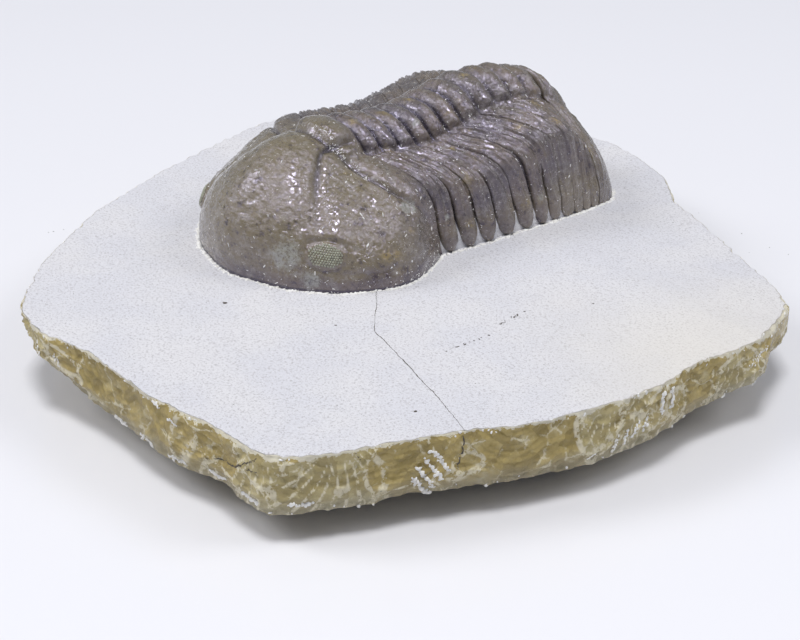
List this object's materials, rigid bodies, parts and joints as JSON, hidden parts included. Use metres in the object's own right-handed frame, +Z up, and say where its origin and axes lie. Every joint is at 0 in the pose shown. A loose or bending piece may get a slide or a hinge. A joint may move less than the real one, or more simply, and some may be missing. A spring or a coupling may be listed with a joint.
{
  "type": "trilobite fossil",
  "caption": "Arched trilobite with a swollen head shield, ribbed thorax and blunt tail shield, lying on a broken slab of pale limestone with a flat prepared face.",
  "frame": {"origin": "centre of the whole fossil's box, on the plane that the slab rests on", "axes": "+Z up out of the prepared face, -Y towards the trilobite's head, +Y towards its tail, +X towards its left side"},
  "size_m": [0.0784, 0.0812, 0.0238],
  "materials": {
    "limestone": "pale lavender-grey limestone: a matt blasted top face, and a glassy ochre-brown broken edge with cream bruises and chalk marks",
    "fossil_shell": "lacquered dark brown-grey calcite shell with olive patches, white flecks and ochre spots"
  },
  "bodies": {
    "root": {"matrix": "limestone", "cephalon": "fossil_shell", "thoracic_segment_01": "fossil_shell", "thoracic_segment_02": "fossil_shell", "thoracic_segment_03": "fossil_shell", "thoracic_segment_04": "fossil_shell", "thoracic_segment_05": "fossil_shell", "thoracic_segment_06": "fossil_shell", "thoracic_segment_07": "fossil_shell", "thoracic_segment_08": "fossil_shell", "thoracic_segment_09": "fossil_shell", "thoracic_segment_10": "fossil_shell", "thoracic_segment_11": "fossil_shell", "pygidium": "fossil_shell"}
  },
  "joints": []
}
